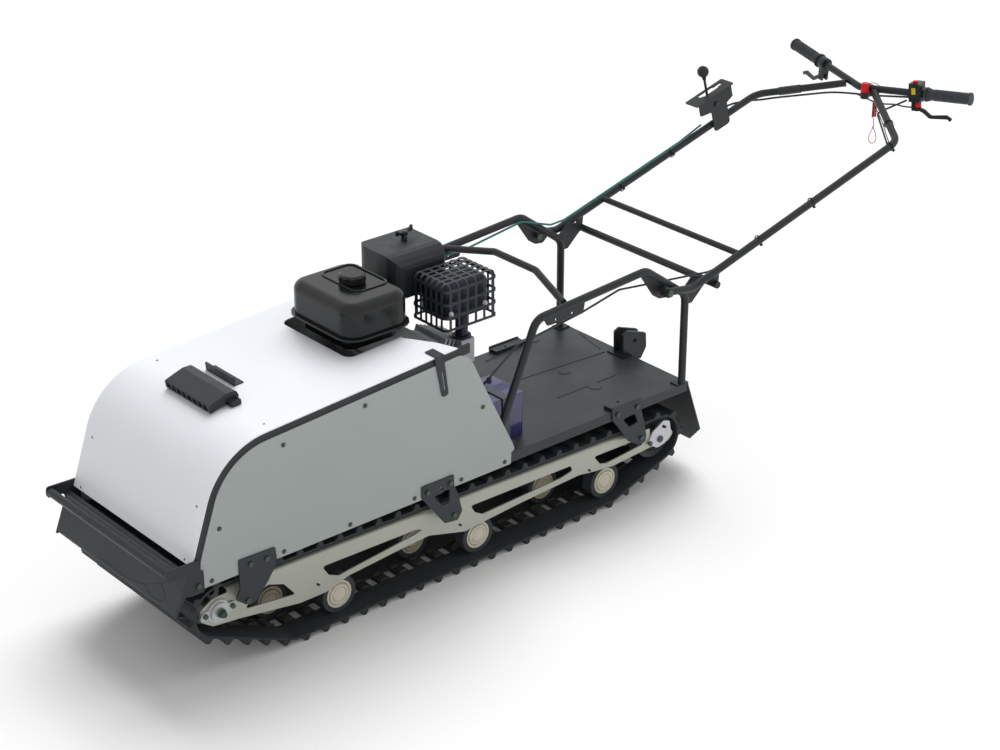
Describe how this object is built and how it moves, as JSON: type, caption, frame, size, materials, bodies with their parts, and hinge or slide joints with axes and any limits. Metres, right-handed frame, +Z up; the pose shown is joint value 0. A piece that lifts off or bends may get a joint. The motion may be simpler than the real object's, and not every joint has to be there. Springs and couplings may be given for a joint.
{
  "type": "tracked snow tow vehicle",
  "caption": "Walk-behind tracked snow tow vehicle: engine under a hood, load deck, rubber track on wheels and a folding handlebar frame.",
  "frame": {"origin": "centre of the bounding box at ground level", "axes": "+X towards the nose, +Y to the left side, +Z up"},
  "size_m": [2.828, 0.71, 0.9737],
  "materials": {
    "hood_white": "satin",
    "panel_grey": "brushed",
    "seal_black": "matte",
    "frame_charcoal": "textured satin",
    "deck_charcoal": "textured satin",
    "rail_alloy": "satin",
    "cast_alloy": "cast",
    "dark_cast": "matte",
    "tank_black": "gloss",
    "black_plastic": "matte",
    "muffler_navy": "satin",
    "battery_blue": "translucent",
    "lamp_clear": "bright",
    "bolt_zinc": "zinc",
    "belt_rubber": "matte",
    "drive_steel": "satin",
    "rim_cream": "satin",
    "tyre_rubber": "matte",
    "grip_rubber": "matte",
    "kill_red": "satin",
    "cord_red": "satin",
    "cable_black": "satin",
    "cable_teal": "satin"
  },
  "bodies": {
    "chassis": {"deck": "deck_charcoal", "hood": "hood_white", "panel_left": "panel_grey", "panel_right": "panel_grey", "edge_seals": "seal_black", "bumper_bar": "frame_charcoal", "skid_plate": "frame_charcoal", "front_brackets": "frame_charcoal", "middle_brackets": "frame_charcoal", "rear_brackets": "frame_charcoal", "rails": "rail_alloy", "axle_mounts": "cast_alloy", "suspension_tubes": "frame_charcoal", "engine_base": "frame_charcoal", "engine_block": "cast_alloy", "variator_cover": "dark_cast", "chain_case": "dark_cast", "fuel_tank": "tank_black", "filter_box": "dark_cast", "muffler": "muffler_navy", "muffler_guard": "frame_charcoal", "battery": "battery_blue", "battery_strap": "frame_charcoal", "light_housing": "black_plastic", "light_lens": "lamp_clear", "hood_straps": "frame_charcoal", "side_tube_left": "frame_charcoal", "side_tube_right": "frame_charcoal", "frame_hoop": "frame_charcoal", "rear_flap": "frame_charcoal", "hitch_bracket": "frame_charcoal", "panel_screws": "bolt_zinc", "frame_bolts": "bolt_zinc", "track_belt": "belt_rubber", "gas_cable": "cable_black", "shift_cable": "cable_teal"},
    "drive": {"drive_axle": "drive_steel"},
    "idlers": {"rear_idlers": "dark_cast"},
    "outer_front": {"outer_rims_front": "rim_cream", "outer_tyres_front": "tyre_rubber"},
    "outer_middle": {"outer_rims_middle": "rim_cream", "outer_tyres_middle": "tyre_rubber"},
    "outer_rear": {"outer_rims_rear": "rim_cream", "outer_tyres_rear": "tyre_rubber"},
    "inner_front": {"inner_wheels_front": "rim_cream"},
    "inner_middle": {"inner_wheels_middle": "rim_cream"},
    "inner_rear": {"inner_wheels_rear": "rim_cream"},
    "handle": {"handle_frame": "frame_charcoal", "handlebar": "frame_charcoal", "grips": "grip_rubber", "switch_block": "black_plastic", "shift_gate": "frame_charcoal", "throttle_perch": "black_plastic"},
    "shifter": {"shift_lever": "black_plastic"},
    "throttle": {"throttle_lever": "frame_charcoal"},
    "brake": {"brake_lever": "frame_charcoal"},
    "kill": {"kill_cap": "kill_red", "kill_cord": "cord_red"},
    "filler": {"fuel_cap": "black_plastic"}
  },
  "joints": [
    {"name": "drive_spin", "type": "hinge", "parent": "chassis", "child": "drive", "pos_m": [1.256, 0, 0.19], "axis": [0, 1, 0], "continuous": true, "deforming": ["track_belt"]},
    {"name": "idler_spin", "type": "hinge", "parent": "chassis", "child": "idlers", "pos_m": [-0.246, 0, 0.153], "axis": [0, 1, 0], "continuous": true},
    {"name": "outer_front_spin", "type": "hinge", "parent": "chassis", "child": "outer_front", "pos_m": [0.873, 0, 0.0735], "axis": [0, 1, 0], "continuous": true},
    {"name": "outer_middle_spin", "type": "hinge", "parent": "chassis", "child": "outer_middle", "pos_m": [0.407, 0, 0.0735], "axis": [0, 1, 0], "continuous": true},
    {"name": "outer_rear_spin", "type": "hinge", "parent": "chassis", "child": "outer_rear", "pos_m": [-0.059, 0, 0.0735], "axis": [0, 1, 0], "continuous": true},
    {"name": "inner_front_spin", "type": "hinge", "parent": "chassis", "child": "inner_front", "pos_m": [1.025, 0, 0.0735], "axis": [0, 1, 0], "continuous": true},
    {"name": "inner_middle_spin", "type": "hinge", "parent": "chassis", "child": "inner_middle", "pos_m": [0.559, 0, 0.0735], "axis": [0, 1, 0], "continuous": true},
    {"name": "inner_rear_spin", "type": "hinge", "parent": "chassis", "child": "inner_rear", "pos_m": [0.093, 0, 0.0735], "axis": [0, 1, 0], "continuous": true},
    {"name": "handle_fold", "type": "hinge", "parent": "chassis", "child": "handle", "pos_m": [-0.219, 0, 0.625], "axis": [0, 1, 0], "range_deg": [0, 130], "deforming": ["gas_cable", "shift_cable"]},
    {"name": "shift", "type": "hinge", "parent": "handle", "child": "shifter", "pos_m": [-0.95607, -0.3, 0.8551], "axis": [0, 1, 0], "range_deg": [-30, 30]},
    {"name": "throttle_pull", "type": "hinge", "parent": "handle", "child": "throttle", "pos_m": [-1.35529, -0.1936, 0.87428], "axis": [0.9691, -0.2467, 0], "range_deg": [-15, 0], "stiffness_Nm_per_rad": 0.5, "springref_deg": 20.05},
    {"name": "brake_pull", "type": "hinge", "parent": "handle", "child": "brake", "pos_m": [-1.35259, 0.18299, 0.87326], "axis": [-0.9691, -0.2467, 0], "range_deg": [-15, 0], "stiffness_Nm_per_rad": 0.5, "springref_deg": 20.05},
    {"name": "kill_pull", "type": "slide", "parent": "handle", "child": "kill", "axis": [0, 0, 1], "range_m": [0, 0.012]},
    {"name": "filler_turn", "type": "hinge", "parent": "chassis", "child": "filler", "pos_m": [0.616, -0.028, 0.8], "axis": [0, 0, 1], "range_deg": [0, 90]}
  ],
  "couplings": [
    {"joint": "idler_spin", "follows": "drive_spin", "ratio": 0.99631},
    {"joint": "outer_front_spin", "follows": "drive_spin", "ratio": 1.2566},
    {"joint": "outer_middle_spin", "follows": "drive_spin", "ratio": 1.2566},
    {"joint": "outer_rear_spin", "follows": "drive_spin", "ratio": 1.2566},
    {"joint": "inner_front_spin", "follows": "drive_spin", "ratio": 1.2566},
    {"joint": "inner_middle_spin", "follows": "drive_spin", "ratio": 1.2566},
    {"joint": "inner_rear_spin", "follows": "drive_spin", "ratio": 1.2566}
  ]
}
